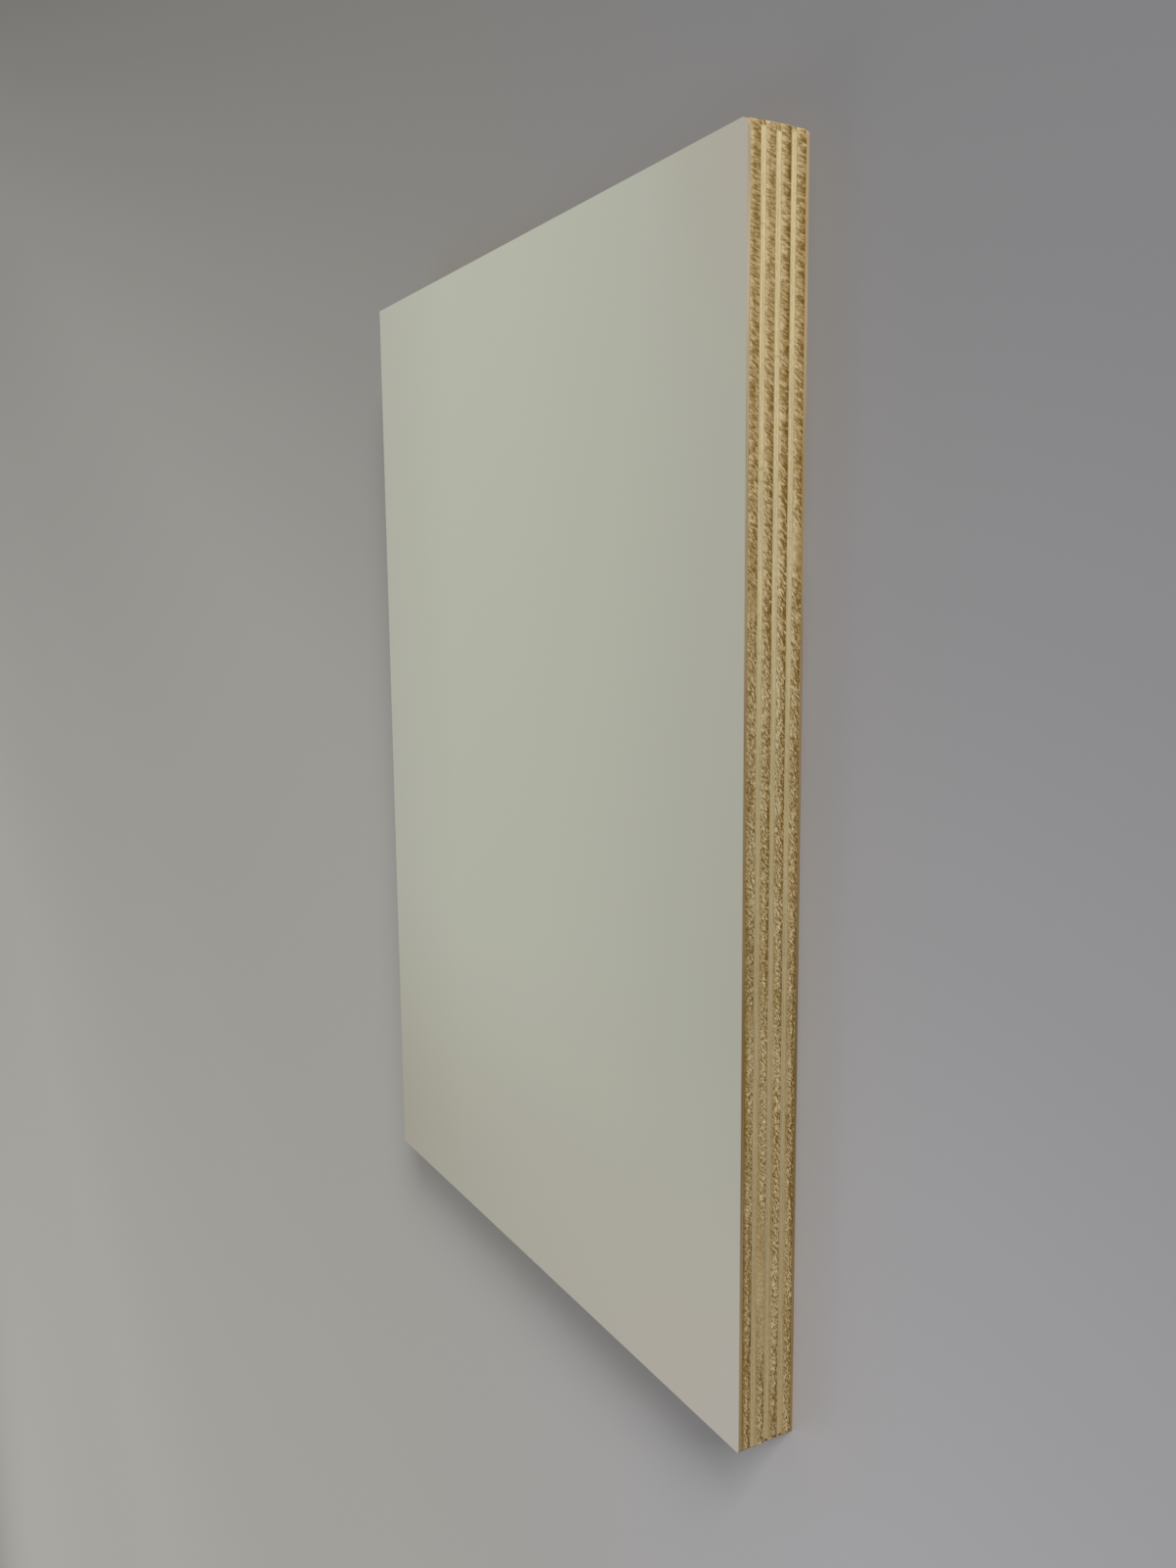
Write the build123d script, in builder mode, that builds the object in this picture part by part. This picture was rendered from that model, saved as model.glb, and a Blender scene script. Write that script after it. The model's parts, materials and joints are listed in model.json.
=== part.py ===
from build123d import *
import os

# A plywood sheet that lies flat with its white face up. Lengths are in millimetres.
# X runs along the long side, Y along the short side and Z up from the underside.
# The origin is at the middle of the underside.

# Trimmed size of the sheet
sheet_length = 297.0
sheet_width = 210.0

# Thickness of each kind of layer
outer_veneer_thickness = 0.75
cross_ply_thickness = 2.5
long_ply_thickness = 1.45
face_film_thickness = 0.15

# The core has this many cross plies, with a long ply between each two of them
cross_ply_count = 4

# Radius of each corner at mid-thickness: the front right one is rubbed round,
# the front left one a little, and the two at the back are as the saw left them
front_right_radius = 1.2
front_left_radius = 0.4
back_corner_radius = 0.25

# The wear reaches further in towards the two faces: it adds this share of the
# corner's radius on the outermost layers
wear_towards_faces = 0.7

# Heights of the stack, from the underside up
long_ply_count = cross_ply_count - 1
core_thickness = cross_ply_count * cross_ply_thickness + long_ply_count * long_ply_thickness
face_veneer_bottom = outer_veneer_thickness + core_thickness
face_film_bottom = face_veneer_bottom + outer_veneer_thickness
sheet_thickness = face_film_bottom + face_film_thickness
middle_height = sheet_thickness / 2

os.makedirs("parts", exist_ok=True)


def trim_outline(bottom, thickness):
    """The sawn outline of one layer, its corners rounded as far as the wear reaches at its height."""
    off_middle = (bottom + thickness / 2 - middle_height) / middle_height
    wear = 1 + wear_towards_faces * off_middle**2
    Rectangle(sheet_length, sheet_width)
    fillet(vertices().group_by(Axis.Y)[-1], radius=back_corner_radius)
    fillet(vertices().group_by(Axis.Y)[0].sort_by(Axis.X)[0], radius=front_left_radius * wear)
    fillet(vertices().group_by(Axis.Y)[0].sort_by(Axis.X)[-1], radius=front_right_radius * wear)


# Back veneer: the thin veneer on the underside, its grain along the sheet
with BuildPart() as back_veneer:
    with BuildSketch():
        trim_outline(0, outer_veneer_thickness)
    extrude(amount=outer_veneer_thickness)
back_veneer.part.label = "back_veneer"
export_step(back_veneer.part, "parts/back_veneer.step")


# Core: thick cross plies, with their grain along the short side, and thinner
# long plies between them, with their grain along the long side
cross_ply_bottom = outer_veneer_thickness
for number in range(1, cross_ply_count + 1):
    with BuildPart() as cross_ply:
        with BuildSketch(Plane.XY.offset(cross_ply_bottom)):
            trim_outline(cross_ply_bottom, cross_ply_thickness)
        extrude(amount=cross_ply_thickness)
    cross_ply.part.label = f"cross_ply_{number}"
    export_step(cross_ply.part, f"parts/cross_ply_{number}.step")

    long_ply_bottom = cross_ply_bottom + cross_ply_thickness
    cross_ply_bottom = long_ply_bottom + long_ply_thickness
    if number > long_ply_count:
        continue
    with BuildPart() as long_ply:
        with BuildSketch(Plane.XY.offset(long_ply_bottom)):
            trim_outline(long_ply_bottom, long_ply_thickness)
        extrude(amount=long_ply_thickness)
    long_ply.part.label = f"long_ply_{number}"
    export_step(long_ply.part, f"parts/long_ply_{number}.step")


# Face veneer: the thin veneer under the white film, its grain along the sheet
with BuildPart() as face_veneer:
    with BuildSketch(Plane.XY.offset(face_veneer_bottom)):
        trim_outline(face_veneer_bottom, outer_veneer_thickness)
    extrude(amount=outer_veneer_thickness)
face_veneer.part.label = "face_veneer"
export_step(face_veneer.part, "parts/face_veneer.step")


# Face film: the white facing, pressed on to the face veneer
with BuildPart() as face_film:
    with BuildSketch(Plane.XY.offset(face_film_bottom)):
        trim_outline(face_film_bottom, face_film_thickness)
    extrude(amount=face_film_thickness)
face_film.part.label = "face_film"
export_step(face_film.part, "parts/face_film.step")

print(f"sheet {sheet_length} x {sheet_width} x {sheet_thickness} mm")
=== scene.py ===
import json
import math
from types import SimpleNamespace

import bpy
from mathutils import Matrix, Vector

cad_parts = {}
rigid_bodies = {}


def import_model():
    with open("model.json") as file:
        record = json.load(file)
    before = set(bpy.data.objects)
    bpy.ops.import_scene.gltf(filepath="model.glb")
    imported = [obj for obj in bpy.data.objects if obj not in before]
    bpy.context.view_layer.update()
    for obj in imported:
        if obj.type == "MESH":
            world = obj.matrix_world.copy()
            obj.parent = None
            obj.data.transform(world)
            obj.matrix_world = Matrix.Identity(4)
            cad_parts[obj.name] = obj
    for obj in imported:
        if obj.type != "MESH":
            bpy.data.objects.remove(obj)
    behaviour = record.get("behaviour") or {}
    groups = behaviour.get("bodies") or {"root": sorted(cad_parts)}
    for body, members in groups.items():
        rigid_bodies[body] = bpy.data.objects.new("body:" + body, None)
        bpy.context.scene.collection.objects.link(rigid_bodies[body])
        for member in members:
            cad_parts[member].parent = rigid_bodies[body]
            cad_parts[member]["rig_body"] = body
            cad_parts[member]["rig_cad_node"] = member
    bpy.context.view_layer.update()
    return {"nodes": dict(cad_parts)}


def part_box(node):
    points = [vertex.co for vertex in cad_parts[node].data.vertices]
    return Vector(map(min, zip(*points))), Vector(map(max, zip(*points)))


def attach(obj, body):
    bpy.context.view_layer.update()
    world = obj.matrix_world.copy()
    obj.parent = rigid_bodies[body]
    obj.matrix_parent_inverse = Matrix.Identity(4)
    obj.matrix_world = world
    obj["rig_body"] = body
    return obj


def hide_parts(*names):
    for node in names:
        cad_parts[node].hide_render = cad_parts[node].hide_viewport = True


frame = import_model()


# Outer veneers. The two thinnest wood layers, peeled from a log and glued to the core with their
# grain along the sheet, one on the back and one under the white film. Their sawn edges show as
# thin tan lines.
MM = 0.001
LENGTHWISE, CROSSWISE = 0, 1
half_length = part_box("face_film")[1].x / MM
half_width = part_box("face_film")[1].y / MM
chip_depth = 0.25


def lift_layer(node):
    """A copy of one CAD layer with its triangles merged into flat faces."""
    bpy.ops.object.select_all(action="DESELECT")
    source = frame["nodes"][node]
    source.select_set(True)
    bpy.context.view_layer.objects.active = source
    bpy.ops.object.duplicate()
    layer = bpy.context.object
    layer.name = node + "_sawn"
    layer.parent = None
    del layer["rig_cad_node"], layer["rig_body"]
    bpy.ops.object.mode_set(mode="EDIT")
    bpy.ops.mesh.select_mode(type="FACE")
    bpy.ops.mesh.select_all(action="SELECT")
    bpy.ops.mesh.remove_doubles(threshold=0.001 * MM)
    bpy.ops.mesh.dissolve_limited(angle_limit=math.radians(0.5))
    bpy.ops.mesh.select_all(action="DESELECT")
    bpy.ops.object.mode_set(mode="OBJECT")
    return layer


def keep_outline(layer):
    """Leaves only the bare outline of the layer's underside."""
    for face in layer.data.polygons:
        face.select = face.normal.z > -0.5
    bpy.ops.object.mode_set(mode="EDIT")
    bpy.ops.mesh.delete(type="FACE")
    bpy.ops.mesh.select_mode(type="EDGE")
    bpy.ops.mesh.select_all(action="SELECT")
    bpy.ops.mesh.delete(type="ONLY_FACE")
    bpy.ops.mesh.select_all(action="DESELECT")
    bpy.ops.object.mode_set(mode="OBJECT")


def select_long_lines(layer, step_along_x, step_along_y):
    """Selects the outline's lines that are longer than the step for the way they run."""
    points = [point.co for point in layer.data.vertices]
    for line in layer.data.edges:
        run = points[line.vertices[1]] - points[line.vertices[0]]
        step = step_along_x if abs(run.x) > abs(run.y) else step_along_y
        line.select = run.length > step * MM
    return any(line.select for line in layer.data.edges)


def divide_outline(layer, step_along_x, step_along_y):
    """Halves the outline's lines, time and again, until none is longer than its step in mm."""
    while select_long_lines(layer, step_along_x, step_along_y):
        bpy.ops.object.mode_set(mode="EDIT")
        bpy.ops.mesh.subdivide(number_cuts=1)
        bpy.ops.mesh.select_all(action="DESELECT")
        bpy.ops.object.mode_set(mode="OBJECT")


def raise_layer(layer, thickness, rows):
    """Fills the outline and draws it up to the layer's thickness in even rows."""
    step = {"value": (0, 0, thickness / rows)}
    bpy.ops.object.mode_set(mode="EDIT")
    bpy.ops.mesh.select_all(action="SELECT")
    bpy.ops.mesh.edge_face_add()
    for _ in range(rows):
        bpy.ops.mesh.extrude_region_move(TRANSFORM_OT_translate=step)
    bpy.ops.mesh.select_all(action="SELECT")
    bpy.ops.mesh.normals_make_consistent(inside=False)
    bpy.ops.object.mode_set(mode="OBJECT")


def layer_heights(node):
    """The heights of a layer's underside and top, in mm."""
    bottom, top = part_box(node)
    return bottom.z / MM, top.z / MM


def add_node(tree, kind, feeds=None, **settings):
    """Adds a node to a material or a relief, and feeds its inputs with links or plain values."""
    made = tree.nodes.new(kind)
    for name, value in settings.items():
        setattr(made, name, value)
    for socket, feed in (feeds or {}).items():
        if isinstance(feed, bpy.types.NodeSocket):
            tree.links.new(feed, made.inputs[socket])
        else:
            made.inputs[socket].default_value = feed
    return made


def calculate(tree, operation, first, second=0.0, third=0.0):
    """One sum on numbers."""
    feeds = {0: first, 1: second, 2: third}
    return add_node(tree, "ShaderNodeMath", feeds, operation=operation).outputs[0]


def add(tree, *values):
    total = values[0]
    for value in values[1:]:
        total = calculate(tree, "ADD", total, value)
    return total


def times(tree, *values):
    product = values[0]
    for value in values[1:]:
        product = calculate(tree, "MULTIPLY", product, value)
    return product


def move(tree, operation, first, second):
    """One sum on places."""
    feeds = {0: first, 1: second}
    return add_node(tree, "ShaderNodeVectorMath", feeds, operation=operation).outputs[0]


def resize(tree, place, factor):
    feeds = {0: place, 3: factor}
    return add_node(tree, "ShaderNodeVectorMath", feeds, operation="SCALE").outputs[0]


def stretch(tree, place, x, y, z):
    return move(tree, "MULTIPLY", place, (x, y, z))


def split_place(tree, place):
    return add_node(tree, "ShaderNodeSeparateXYZ", {0: place}).outputs


def join_place(tree, x, y, z):
    return add_node(tree, "ShaderNodeCombineXYZ", {0: x, 1: y, 2: z}).outputs[0]


def fade(tree, value, start, end, low=0.0, high=1.0):
    """Runs smoothly from low to high as the value goes from start to end."""
    feeds = {"Value": value, "From Min": start, "From Max": end, "To Min": low, "To Max": high}
    return add_node(tree, "ShaderNodeMapRange", feeds, interpolation_type="SMOOTHSTEP").outputs[0]


def between(tree, value, start, end, soft):
    """1 where the value lies between the start and the end, and 0 elsewhere, with soft limits."""
    rise = fade(tree, value, start - soft, start + soft)
    return times(tree, rise, fade(tree, value, end + soft, end - soft))


def noise(tree, place, scale, detail=2.0, roughness=0.5):
    """Soft random values, so many to the millimetre."""
    feeds = {"Vector": place, "Scale": scale, "Detail": detail, "Roughness": roughness}
    return add_node(tree, "ShaderNodeTexNoise", feeds).outputs[0]


def curl(tree, place, scale, reach):
    """Bends the place about by up to the reach, so that straight patterns curl."""
    feeds = {"Vector": place, "Scale": scale, "Detail": 1.0}
    waves = add_node(tree, "ShaderNodeTexNoise", feeds).outputs[1]
    bend = resize(tree, move(tree, "SUBTRACT", waves, (0.5, 0.5, 0.5)), 2 * reach)
    return move(tree, "ADD", place, bend)


def mix_numbers(tree, share, first, second):
    feeds = {0: share, 2: first, 3: second}
    return add_node(tree, "ShaderNodeMix", feeds, data_type="FLOAT").outputs[0]


def mix_colours(tree, share, first, second, blend="MIX"):
    feeds = {0: share}
    for socket, colour in ((6, first), (7, second)):
        feeds[socket] = (*colour, 1) if isinstance(colour, tuple) else colour
    made = add_node(tree, "ShaderNodeMix", feeds, data_type="RGBA", blend_type=blend)
    return made.outputs[2]


def colour_steps(tree, value, steps):
    """Colours by value: each step is a value from 0 to 1 and its red, green and blue."""
    made = add_node(tree, "ShaderNodeValToRGB", {0: value})
    stops = made.color_ramp.elements
    stops[1].position = 1.0
    for number, (at, colour) in enumerate(steps):
        if number == 0:
            stop = stops[0]
        elif number == len(steps) - 1:
            stop = stops[-1]
        else:
            stop = stops.new(at)
        stop.position = at
        stop.color = (*colour, 1)
    return made.outputs[0]


def colours_by_place(tree, place, span, steps):
    """Colours over a span about the sheet's middle: each step is a place in mm and its colour."""
    share = calculate(tree, "MULTIPLY_ADD", place, 1 / span, 0.5)
    return colour_steps(tree, share, [(at / span + 0.5, colour) for at, colour in steps])


def own_pattern(tree, side, seed):
    """A number for the edge that lies on that side, so that no two edges have the same pattern."""
    return calculate(tree, "MULTIPLY_ADD", calculate(tree, "SIGN", side), 40.0, seed)


def end_distance(tree, parts, grain_axis):
    """Distance in from the sheet's side that cuts across the grain."""
    half = half_length if grain_axis == LENGTHWISE else half_width
    return calculate(tree, "SUBTRACT", half, calculate(tree, "ABSOLUTE", parts[grain_axis]))


def end_grain(tree, parts, grain_axis, low, high, seed, clean_cuts=()):
    """The saw cut across the fibres. All are from 0 to 1: the level in the layer, the torn grain,
    its tufts and pits, how worn that stretch of the edge is, and how smooth the cut is."""
    along, side = parts[1 - grain_axis], parts[grain_axis]
    level = calculate(tree, "DIVIDE", calculate(tree, "SUBTRACT", parts[2], low), high - low)
    up = calculate(tree, "SUBTRACT", parts[2], (low + high) / 2)

    # The torn fibres lean, least at the right end, where they are also tallest
    lean_right = fade(tree, along, 20.0, 135.0, 1.35, 0.25)
    lean_left = fade(tree, along, -60.0, -120.0, 0.0, 0.5)
    leant = calculate(tree, "SUBTRACT", along, times(tree, add(tree, lean_right, lean_left), up))
    width = times(tree, leant, fade(tree, along, 60.0, -80.0, 1.5, 2.1))
    height = times(tree, up, fade(tree, along, 0.0, 110.0, 1.8, 0.55))
    flat = join_place(tree, width, own_pattern(tree, side, seed), height)
    curled = curl(tree, flat, 0.8, 0.3)
    torn = fade(tree, noise(tree, curled, 1.0, detail=2.5, roughness=0.6), 0.34, 0.66)

    # Wear has smoothed the upper part of each ply at the left, and the saw left a few clean cuts
    worn = fade(tree, along, 30.0, -60.0)
    smoothed = times(tree, worn, fade(tree, level, 0.55, 0.9))
    for start, end in clean_cuts:
        smoothed = calculate(tree, "MAXIMUM", smoothed, between(tree, along, start, end, 2.5))
    fresh = calculate(tree, "SUBTRACT", 1.0, smoothed)

    # Elsewhere tufts stand up and pits are torn out
    tuft_place = stretch(tree, move(tree, "ADD", curled, (0, 5.3, 0)), 1.3, 1.0, 1.1)
    raised = fade(tree, noise(tree, tuft_place, 1.0, detail=1.5), 0.57, 0.67)
    tufts = times(tree, raised, fresh, fade(tree, along, 120.0, 20.0, 0.5, 1.0))
    pit_place = stretch(tree, move(tree, "ADD", curled, (0, 11.9, 0)), 1.1, 1.0, 1.2)
    sunk = fade(tree, noise(tree, pit_place, 1.0, detail=1.5), 0.40, 0.30)
    pits = times(tree, sunk, fresh, fade(tree, along, 120.0, 20.0, 0.35, 1.0))
    return SimpleNamespace(
        level=level, torn=torn, tufts=tufts, pits=pits, worn=worn, smoothed=smoothed
    )


def chip(tree, parts, height):
    """From 0 to 1 where a small chip is out of the front left corner at the given height."""
    off_height = calculate(tree, "ABSOLUTE", add(tree, parts[2], -height))
    at_height = fade(tree, off_height, 0.55, 0.35)
    near_left_end = fade(tree, parts[0], -147.55, -147.8)
    near_front_edge = fade(tree, parts[1], -103.9, -104.3)
    return times(tree, at_height, near_left_end, near_front_edge)


def saw_relief(layer, grain_axis, seed, end_depth, long_depth, chip_at=None, clean_cuts=()):
    """Pushes the sawn walls in where they are low: by about end_depth in mm where the saw cut
    across the grain, and by up to long_depth where it cut along the grain."""
    low, high = layer_heights(layer.name.removesuffix("_sawn"))
    tree = bpy.data.node_groups.new(layer.name + "_relief", "GeometryNodeTree")
    tree.interface.new_socket("Geometry", in_out="INPUT", socket_type="NodeSocketGeometry")
    tree.interface.new_socket("Geometry", in_out="OUTPUT", socket_type="NodeSocketGeometry")
    start = tree.nodes.new("NodeGroupInput")
    end = tree.nodes.new("NodeGroupOutput")
    place = resize(tree, tree.nodes.new("GeometryNodeInputPosition").outputs[0], 1 / MM)
    parts = split_place(tree, place)

    # Across the grain: lumps and pits, and where it is worn a shallow groove at the underside
    cut = end_grain(tree, parts, grain_axis, low, high, seed, clean_cuts)
    lumps = add(tree, times(tree, cut.torn, 0.5), times(tree, cut.tufts, 0.5))
    lumps = add(tree, lumps, times(tree, cut.pits, -0.6), -0.6)
    lumps = mix_numbers(tree, cut.smoothed, calculate(tree, "MINIMUM", lumps, 0.0), -0.1)
    groove = times(tree, cut.worn, fade(tree, cut.level, 0.2, 0.04), 0.4)
    lumps = add(tree, lumps, times(tree, groove, -1.0))
    rough = times(tree, calculate(tree, "MAXIMUM", lumps, -1.3), end_depth)

    # Along the grain: fine long lines
    apart = own_pattern(tree, parts[1 - grain_axis], seed)
    flat = join_place(tree, parts[grain_axis], apart, parts[2])
    lines = noise(tree, stretch(tree, flat, 0.05, 1.0, 4.0), 1.0)
    smooth = times(tree, add(tree, lines, -1.0), long_depth)

    is_end = fade(tree, end_distance(tree, parts, grain_axis), 0.45, 0.25)
    inward = mix_numbers(tree, is_end, smooth, rough)
    if chip_at:
        inward = add(tree, inward, times(tree, chip(tree, parts, chip_at), -chip_depth))
    normal = tree.nodes.new("GeometryNodeInputNormal").outputs[0]
    level_normal = {0: stretch(tree, normal, 1, 1, 0)}
    outward = add_node(tree, "ShaderNodeVectorMath", level_normal, operation="NORMALIZE").outputs[0]
    shift = resize(tree, outward, times(tree, inward, MM))
    feeds = {"Geometry": start.outputs[0], "Offset": shift}
    moved = add_node(tree, "GeometryNodeSetPosition", feeds)
    tree.links.new(moved.outputs[0], end.inputs[0])
    modifier = layer.modifiers.new("relief", "NODES")
    modifier.node_group = tree
    bpy.context.view_layer.objects.active = layer
    bpy.ops.object.modifier_apply(modifier=modifier.name)


def dress(layer, node, material):
    """Puts the finished layer in its CAD layer's place."""
    bpy.ops.object.shade_smooth_by_angle(angle=math.radians(60))
    layer.data.materials.clear()
    layer.data.materials.append(material)
    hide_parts(node)
    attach(layer, "root")


def start_material(name):
    """A new material, with its nodes, its shader and the place on the sheet in mm."""
    material = bpy.data.materials.new(name)
    material.use_nodes = True
    tree = material.node_tree
    shader = tree.nodes["Principled BSDF"]
    place = resize(tree, tree.nodes.new("ShaderNodeTexCoord").outputs["Object"], 1 / MM)
    return material, tree, shader, place


def raw_wood(tree, shader, colour):
    """Bare wood: a dull surface of the given colour."""
    tree.links.new(colour, shader.inputs["Base Color"])
    shader.inputs["Roughness"].default_value = 0.8
    shader.inputs["Specular IOR Level"].default_value = 0.1


def shaded(tree, colour, value, darkest, lightest):
    """The colour times a factor, which goes from darkest to lightest with the value."""
    factor = fade(tree, value, 0.3, 0.7, darkest, lightest)
    return mix_colours(tree, 1.0, colour, join_place(tree, factor, factor, factor), "MULTIPLY")


torn_veneer_colours = (
    (0.0, (0.15, 0.085, 0.02)),
    (0.6, (0.3, 0.2, 0.08)),
    (1.0, (0.5, 0.38, 0.19)),
)


def outer_veneer_finish(node, seed, colours):
    """Long grain of the given colours along the sheet, and torn end grain at its two ends."""
    material, tree, shader, place = start_material(node + "_wood")
    parts = split_place(tree, place)
    low, high = layer_heights(node)
    fibres = noise(tree, stretch(tree, place, 0.03, 1.6, 3.0), 1.0, detail=3.0)
    # The colours along the sheet carry painted sheen that grows towards the right end.
    wood = shaded(tree, colours_by_place(tree, parts[0], 300, colours), fibres, 0.8, 1.2)
    cut = end_grain(tree, parts, LENGTHWISE, low, high, seed)
    rough = colour_steps(tree, cut.torn, torn_veneer_colours)
    is_end = fade(tree, end_distance(tree, parts, LENGTHWISE), 0.6, 0.3)
    raw_wood(tree, shader, mix_colours(tree, is_end, wood, rough))
    feeds = {"Height": fibres, "Distance": 0.05 * MM, "Strength": 0.4}
    bump = add_node(tree, "ShaderNodeBump", feeds)
    tree.links.new(bump.outputs[0], shader.inputs["Normal"])
    return material


# The two veneers' colours along the sheet, in mm from the middle. Both grow lighter towards the
# right end, partly the wood's own tone and partly painted sheen on the long grain.
back_veneer_tone_and_sheen = (
    (-150, (0.255, 0.165, 0.068)),
    (-60, (0.19, 0.12, 0.045)),
    (20, (0.24, 0.165, 0.08)),
    (110, (0.41, 0.30, 0.16)),
)
face_veneer_tone_and_sheen = (
    (-150, (0.31, 0.225, 0.125)),
    (-95, (0.24, 0.179, 0.105)),
    (-60, (0.18, 0.12, 0.056)),
    (-20, (0.21, 0.152, 0.072)),
    (20, (0.24, 0.172, 0.087)),
    (60, (0.295, 0.227, 0.125)),
    (110, (0.45, 0.37, 0.25)),
)
for node, seed, colours in (
    ("back_veneer", 3.0, back_veneer_tone_and_sheen),
    ("face_veneer", 7.0, face_veneer_tone_and_sheen),
):
    bottom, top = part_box(node)
    veneer = lift_layer(node)
    keep_outline(veneer)
    divide_outline(veneer, step_along_x=0.3, step_along_y=0.5)
    raise_layer(veneer, top.z - bottom.z, rows=4)
    saw_relief(veneer, LENGTHWISE, seed, end_depth=0.12, long_depth=0.07)
    dress(veneer, node, outer_veneer_finish(node, seed, colours))


# Cross plies. The four thick core veneers, glued in with their grain across the sheet, so that
# the long edges cut through their fibres and the saw has torn them.
end_grain_colours = (
    (0.0, (0.165, 0.088, 0.014)),
    (0.25, (0.235, 0.142, 0.037)),
    (0.5, (0.335, 0.228, 0.092)),
    (0.75, (0.43, 0.315, 0.15)),
    (1.0, (0.56, 0.43, 0.24)),
)
# A cooler, greener cast of light, painted on the torn end grain away from the right end.
painted_light_tint = (0.96, 1.02, 1.13)
# The tufts' paler torn fibre, with a painted highlight on it.
tuft_cream_and_highlight = (0.68, 0.57, 0.35)
# Painted shade in the torn-out pits.
pit_shade_brown = (0.12, 0.06, 0.012)
# A painted shadow along the lower part of each ply, as under an overhang.
groove_shadow_brown = (0.13, 0.068, 0.013)
# Painted shade in the hollow of a corner chip.
chip_shade_brown = (0.10, 0.055, 0.018)
dark_long_grain, light_long_grain = (0.46, 0.35, 0.18), (0.58, 0.47, 0.27)


def cross_ply_tone(tree, place, parts, cut, seed, clean_cuts, base, underside_shade, top_tones):
    """How light the torn end grain is, from 0 to 1."""
    along = parts[0]
    sharpness = mix_numbers(tree, cut.smoothed, fade(tree, along, 30.0, 100.0, 0.85, 0.6), 0.3)
    contrast = times(tree, add(tree, cut.torn, -0.5), sharpness)
    speckle_place = stretch(tree, move(tree, "ADD", place, (seed, 0, 0)), 2.6, 0.1, 2.8)
    speckle = times(
        tree,
        add(tree, fade(tree, noise(tree, speckle_place, 1.0, detail=1.5), 0.36, 0.64), -0.5),
        fade(tree, along, 60.0, -60.0, 0.12, 0.6),
        fade(tree, cut.smoothed, 0.0, 1.0, 1.0, 0.35),
    )
    patch_place = move(tree, "ADD", stretch(tree, place, 0.05, 0.01, 0.2), (seed, 0, 0))
    patches = times(tree, add(tree, noise(tree, patch_place, 1.0), -0.5), 0.7)
    # Painted shade along the underside of the ply, by the glue line below it.
    start, end, darkness = underside_shade
    shade_stretch = between(tree, along, start, end, 15)
    bottom = times(tree, shade_stretch, fade(tree, cut.level, 0.5, 0.05), -darkness)
    top = times(tree, fade(tree, along, *top_tones), fade(tree, cut.level, 0.5, 0.9))
    tone = add(tree, base, contrast, speckle, patches, bottom, top)
    for start, end in clean_cuts:
        tone = add(tree, tone, times(tree, between(tree, along, start, end, 2.5), 0.1))
    return tone


def painted_groove_shadow(tree, place, parts, cut, seed, groove_shadow_stretch):
    """From 0 to 1 where a painted shadow wanders along the lower part of the ply, as under a
    groove.
    """
    start, end = groove_shadow_stretch
    wander_place = stretch(tree, move(tree, "ADD", place, (seed, 0, 0)), 0.12, 0.01, 0.01)
    wander = fade(tree, noise(tree, wander_place, 1.0, detail=3.0), 0.35, 0.65)
    off_groove = calculate(tree, "ABSOLUTE", add(tree, cut.level, times(tree, wander, -0.35)))
    return times(tree, between(tree, parts[0], start, end, 4), fade(tree, off_groove, 0.14, 0.04))


def cross_ply_finish(node, seed, chip_at, clean_cuts, base, underside_shade, top_tones, groove_shadow_stretch):
    """Torn end grain along the long edges, and smooth long grain at the two ends."""
    material, tree, shader, place = start_material(node + "_wood")
    parts = split_place(tree, place)
    low, high = layer_heights(node)
    cut = end_grain(tree, parts, CROSSWISE, low, high, seed, clean_cuts)
    tone = cross_ply_tone(tree, place, parts, cut, seed, clean_cuts, base, underside_shade, top_tones)
    wood = colour_steps(tree, tone, end_grain_colours)
    # Away from the right end the wood carries the painted cast of light.
    wood_under_painted_light = mix_colours(tree, 1.0, wood, painted_light_tint, "MULTIPLY")
    wood = mix_colours(tree, fade(tree, parts[0], 100.0, 20.0), wood, wood_under_painted_light)
    # The tufts are paler torn fibre that carries a painted highlight.
    wood = mix_colours(tree, times(tree, cut.tufts, 0.7), wood, tuft_cream_and_highlight)
    # Painted shade in the pits.
    wood = mix_colours(tree, times(tree, cut.pits, 0.75), wood, pit_shade_brown)
    # A painted shadow along the lower part of the ply.
    groove = times(tree, painted_groove_shadow(tree, place, parts, cut, seed, groove_shadow_stretch), 0.65)
    ends = mix_colours(tree, groove, wood, groove_shadow_brown)
    # Painted shade in the corner chip.
    if chip_at:
        ends = mix_colours(tree, chip(tree, parts, chip_at), ends, chip_shade_brown)
    fibres = noise(tree, stretch(tree, place, 1.6, 0.03, 2.0), 1.0, detail=3.0)
    smooth = mix_colours(tree, fade(tree, fibres, 0.3, 0.7), dark_long_grain, light_long_grain)
    is_end = fade(tree, end_distance(tree, parts, CROSSWISE), 0.6, 0.3)
    raw_wood(tree, shader, mix_colours(tree, is_end, smooth, ends))
    return material


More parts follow.
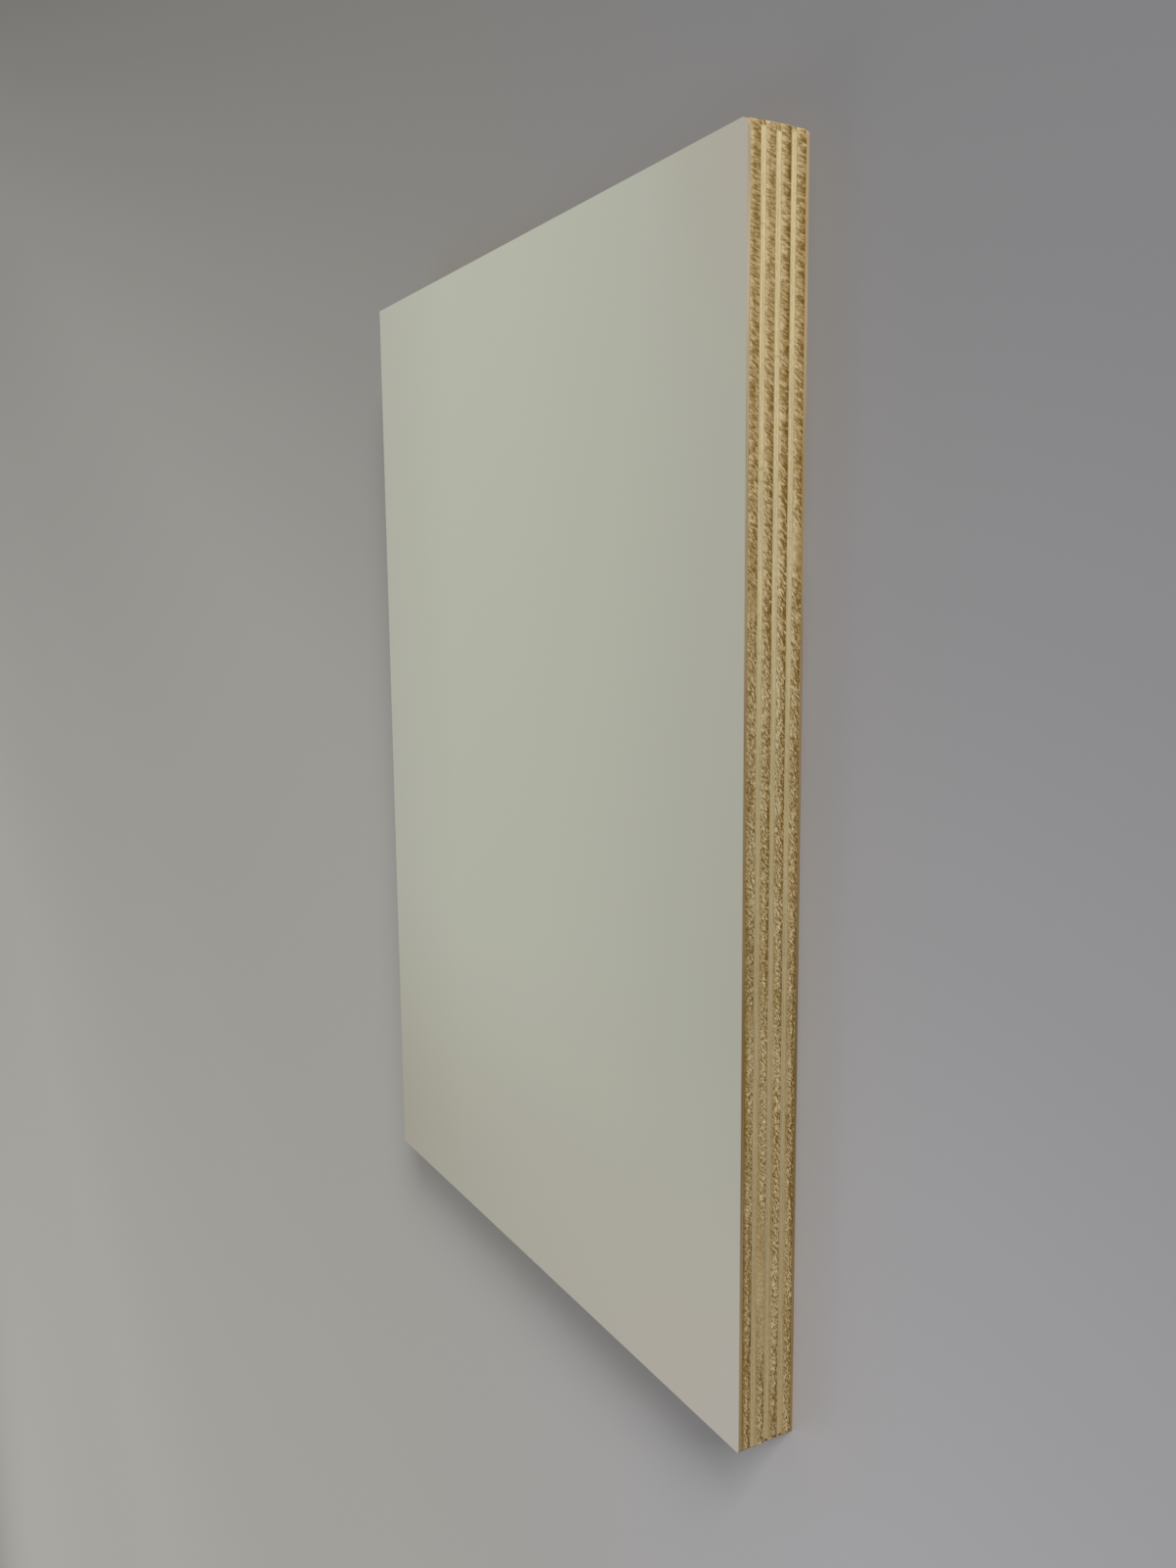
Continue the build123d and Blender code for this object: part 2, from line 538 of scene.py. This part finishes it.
# Each ply, from the lowest up, has the height of its corner chip, the stretches that the saw cut
# clean, the tone of its wood, the painted shade along its underside (from, to, darkness), the tone
# along its top (from, to, first, last) and the stretch of its painted groove shadow.
for number, chip_at, clean_cuts, base, underside_shade, top_tones, groove_shadow_stretch in (
    (1, None, ((57, 65),), 0.53, (-200, 200, 0.25), (-10, 60, 0.0, 0.25), (-100, -20)),
    (2, 5.4, (), 0.51, (-50, 200, 0.4), (-10, 60, 0.0, 0.35), (-160, -122)),
    (3, None, ((-124, -92),), 0.49, (-40, 90, 0.5), (-10, 60, 0.0, 0.35), (-160, -126)),
    (4, None, ((-46, -41), (47, 52)), 0.43, (-200, -110, 0.25), (-60, 110, -0.3, 0.3), (-160, -90)),
):
    node = f"cross_ply_{number}"
    bottom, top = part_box(node)
    seed = number * 13.7
    ply = lift_layer(node)
    keep_outline(ply)
    divide_outline(ply, step_along_x=0.2, step_along_y=0.5)
    raise_layer(ply, top.z - bottom.z, rows=12)
    saw_relief(ply, CROSSWISE, seed, 0.2, 0.05, chip_at, clean_cuts)
    finish = cross_ply_finish(
        node, seed, chip_at, clean_cuts, base, underside_shade, top_tones, groove_shadow_stretch
    )
    dress(ply, node, finish)


# Long plies. The three thinner core veneers, glued between the cross plies with their grain along
# the sheet, so that the long edges show them as smooth pale lines.
# The long plies' colour along the sheet, in mm from the middle: lighter towards the right end,
# partly the wood's own tone and partly painted sheen.
long_grain_tone_and_sheen = (
    (-150, (0.40, 0.305, 0.155)),
    (-100, (0.36, 0.28, 0.148)),
    (-30, (0.375, 0.295, 0.16)),
    (20, (0.415, 0.34, 0.178)),
    (60, (0.51, 0.43, 0.243)),
    (95, (0.57, 0.465, 0.26)),
    (150, (0.61, 0.495, 0.28)),
)
torn_long_ply_colours = (
    (0.0, (0.15, 0.08, 0.015)),
    (0.5, (0.28, 0.185, 0.06)),
    (1.0, (0.5, 0.38, 0.18)),
)
glue_brown = (0.28, 0.19, 0.085)
hairline_brown = (0.28, 0.18, 0.08)


def long_ply_finish(node, seed, chip_at, rubbed_back):
    """Smooth long grain along the long edges, and torn end grain at the two ends, which shows
    further along the front edge where the front right corner is rubbed."""
    material, tree, shader, place = start_material(node + "_wood")
    parts = split_place(tree, place)
    low, high = layer_heights(node)
    fibres = noise(tree, stretch(tree, place, 0.05, 1.6, 3.0), 1.0, detail=3.0)
    flecks = noise(tree, stretch(tree, place, 0.9, 1.6, 2.6), 1.0, detail=2.0)
    light = add(tree, times(tree, fibres, 0.6), times(tree, flecks, 0.4))
    # The colour along the sheet carries painted sheen towards the right end.
    wood_colour = colours_by_place(tree, parts[0], 300, long_grain_tone_and_sheen)
    smooth = shaded(tree, wood_colour, light, 0.8, 1.2)

    # Darker right beside the glue, and crossed by fine dark hairlines
    from_bottom = add(tree, parts[2], -low)
    from_top = calculate(tree, "SUBTRACT", high, parts[2])
    to_glue = calculate(tree, "MINIMUM", from_bottom, from_top)
    smooth = mix_colours(tree, fade(tree, to_glue, 0.25, 0.0, 0.0, 0.5), smooth, glue_brown)
    strip = join_place(tree, parts[0], times(tree, parts[2], 0.1), seed)
    hairline = fade(tree, noise(tree, strip, 1.1, detail=1.0), 0.70, 0.76)
    smooth = mix_colours(tree, times(tree, hairline, 0.3), smooth, hairline_brown)

    cut = end_grain(tree, parts, LENGTHWISE, low, high, seed)
    rough = colour_steps(tree, cut.torn, torn_long_ply_colours)
    at_right_end = fade(tree, parts[0], 140.0, 141.0)
    rubbed = times(tree, at_right_end, fade(tree, parts[1], -99.0, -101.0))
    reach = add(tree, 0.5, times(tree, rubbed, add(tree, rubbed_back, times(tree, flecks, 1.4))))
    past_reach = calculate(tree, "SUBTRACT", end_distance(tree, parts, LENGTHWISE), reach)
    wood = mix_colours(tree, fade(tree, past_reach, 0.0, -0.3), smooth, rough)
    # Painted shade in the corner chip.
    if chip_at:
        wood = mix_colours(tree, chip(tree, parts, chip_at), wood, chip_shade_brown)
    raw_wood(tree, shader, wood)
    return material


# Each ply, from the lowest up, has the height of its corner chip, and the least in mm that the
# front right corner is rubbed back.
for number, chip_at, rubbed_back in ((1, 3.7, 0.1), (2, 7.85, 0.9), (3, None, 0.5)):
    node = f"long_ply_{number}"
    bottom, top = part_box(node)
    seed = 60.0 + number * 9.3
    ply = lift_layer(node)
    keep_outline(ply)
    divide_outline(ply, step_along_x=0.3, step_along_y=0.3)
    raise_layer(ply, top.z - bottom.z, rows=8)
    saw_relief(ply, LENGTHWISE, seed, 0.2, 0.06, chip_at)
    dress(ply, node, long_ply_finish(node, seed, chip_at, rubbed_back))


# Face film. The thin white facing, pressed on to the face veneer and sawn with the sheet. It is
# smooth and satin, and its cut edge is brown.
# The white across the sheet, in mm from the middle. Painted shade makes it deeper towards the front
# edge. At the left end a painted warm reflection warms it, and it is painted a shade darker towards
# the back.
white_with_painted_shade = (
    (-105, (0.625, 0.627, 0.525)),
    (-80, (0.655, 0.668, 0.557)),
    (-50, (0.70, 0.714, 0.594)),
    (0, (0.75, 0.767, 0.636)),
    (50, (0.777, 0.795, 0.66)),
    (105, (0.75, 0.762, 0.635)),
)
white_left_end_with_painted_reflection = (
    (-105, (0.715, 0.67, 0.59)),
    (-50, (0.705, 0.67, 0.57)),
    (0, (0.705, 0.67, 0.57)),
    (50, (0.69, 0.67, 0.555)),
    (105, (0.65, 0.62, 0.505)),
)
# The rubbed front right corner: partly wear and partly a painted pinkish reflection.
rubbed_and_reflecting_white = (0.64, 0.59, 0.505)


def face_film_finish():
    """The white carries painted shade, a little deeper towards the front edge, and a painted warm
    reflection that makes it a little warmer at the left end.
    """
    material, tree, shader, place = start_material("white_film")
    parts = split_place(tree, place)
    main = colours_by_place(tree, parts[1], 220, white_with_painted_shade)
    left_end = colours_by_place(tree, parts[1], 220, white_left_end_with_painted_reflection)
    colour = mix_colours(tree, fade(tree, parts[0], -40.0, -145.0), main, left_end)
    # Near the front right corner the film is rubbed, and a painted pinkish reflection lies over it.
    near_right_end = fade(tree, parts[0], 90.0, 148.0)
    rubbed = times(tree, near_right_end, fade(tree, parts[1], -60.0, -105.0), 0.8)
    colour = mix_colours(tree, rubbed, colour, rubbed_and_reflecting_white)
    tree.links.new(colour, shader.inputs["Base Color"])
    shader.inputs["Roughness"].default_value = 0.55
    shader.inputs["Specular IOR Level"].default_value = 0.2
    return material


def face_film_edge():
    material, _, shader, _ = start_material("white_film_edge")
    shader.inputs["Base Color"].default_value = (0.42, 0.33, 0.23, 1)
    shader.inputs["Roughness"].default_value = 0.7
    return material


bottom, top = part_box("face_film")
film = lift_layer("face_film")
keep_outline(film)
divide_outline(film, step_along_x=0.3, step_along_y=0.5)
raise_layer(film, top.z - bottom.z, rows=1)
saw_relief(film, LENGTHWISE, 11.0, end_depth=0.04, long_depth=0.04)
dress(film, "face_film", face_film_finish())
film.data.materials.append(face_film_edge())
for face in film.data.polygons:
    face.material_index = 0 if face.normal.z > 0.5 else 1


# Floor. A pale floor with a painted falloff of light, which darkens it softly towards the sheet's
# right end. It is a touch cooler in front of the sheet than behind it.
slope_start, slope_length = -1000, 1300
painted_falloff_greys = ((-1000, 0.89), (-400, 0.66), (-100, 0.61), (50, 0.46), (220, 0.27))
slope_turn = math.radians(25)
cool_tint, warm_tint = (1.01, 0.995, 1.03), (1.03, 1.0, 0.93)

bpy.ops.object.select_all(action="DESELECT")
bpy.ops.mesh.primitive_plane_add(size=16)
floor = bpy.context.object
floor.name = "floor"
floor_material, tree, shader, place = start_material("pale_floor")
parts = split_place(tree, place)
down_slope = add(
    tree,
    times(tree, parts[0], math.cos(slope_turn)),
    times(tree, parts[1], -math.sin(slope_turn)),
)
share = calculate(tree, "MULTIPLY_ADD", down_slope, 1 / slope_length, -slope_start / slope_length)
steps = [((at - slope_start) / slope_length, (grey, grey, grey)) for at, grey in painted_falloff_greys]
greys = colour_steps(tree, share, steps)
greys.node.color_ramp.interpolation = "B_SPLINE"
tint = mix_colours(tree, fade(tree, parts[1], -160.0, 160.0), cool_tint, warm_tint)
tree.links.new(mix_colours(tree, 1.0, greys, tint, "MULTIPLY"), shader.inputs["Base Color"])
shader.inputs["Roughness"].default_value = 0.9
floor.data.materials.append(floor_material)


# Light. A softly lit white room, a wide lamp low down beyond the front right corner, and a weak
# one high up at the back left that lifts the floor there.
world = bpy.data.worlds.new("soft_room")
bpy.context.scene.world = world
world.use_nodes = True
world.node_tree.nodes["Background"].inputs["Color"].default_value = (1.0, 1.0, 1.0, 1)
world.node_tree.nodes["Background"].inputs["Strength"].default_value = 0.27


def hang_lamp(name, width, height, watts, place, aim):
    """A soft lamp that hangs at its place, points at its aim and is itself out of the picture."""
    lamp = bpy.data.lights.new(name, "AREA")
    lamp.shape = "RECTANGLE"
    lamp.size = width
    lamp.size_y = height
    lamp.energy = watts
    hung = bpy.data.objects.new(name, lamp)
    bpy.context.scene.collection.objects.link(hung)
    hung.location = place
    hung.rotation_euler = (Vector(aim) - hung.location).to_track_quat("-Z", "Y").to_euler()
    hung.visible_camera = False


hang_lamp("key", 0.9, 0.5, 38.0, place=(1.30, -1.5, 0.68), aim=(0.05, -0.105, 0.0))
hang_lamp("fill", 1.6, 1.6, 10.0, place=(-2.0, 2.2, 2.2), aim=(-0.8, 1.2, 0.0))


# Camera. It looks down over the front edge, turned on its side, so that the sheet's right end is
# at the top of the picture.
camera_place = Vector((51.6, -335.92, 185.44)) * MM
look = Vector((-0.14108, 0.86177, -0.48728)).normalized()
up = Vector((0.98995, 0.11808, -0.07778))
right = look.cross(up).normalized()
up = right.cross(look)
camera_turn = Matrix((right, up, -look)).transposed().to_4x4()

camera_data = bpy.data.cameras.new("camera")
camera_data.lens = 30.22
camera_data.clip_start = 0.01
camera = bpy.data.objects.new("camera", camera_data)
bpy.context.scene.collection.objects.link(camera)
camera.matrix_world = Matrix.Translation(camera_place) @ camera_turn
bpy.context.scene.camera = camera
bpy.context.scene.view_settings.view_transform = "Standard"
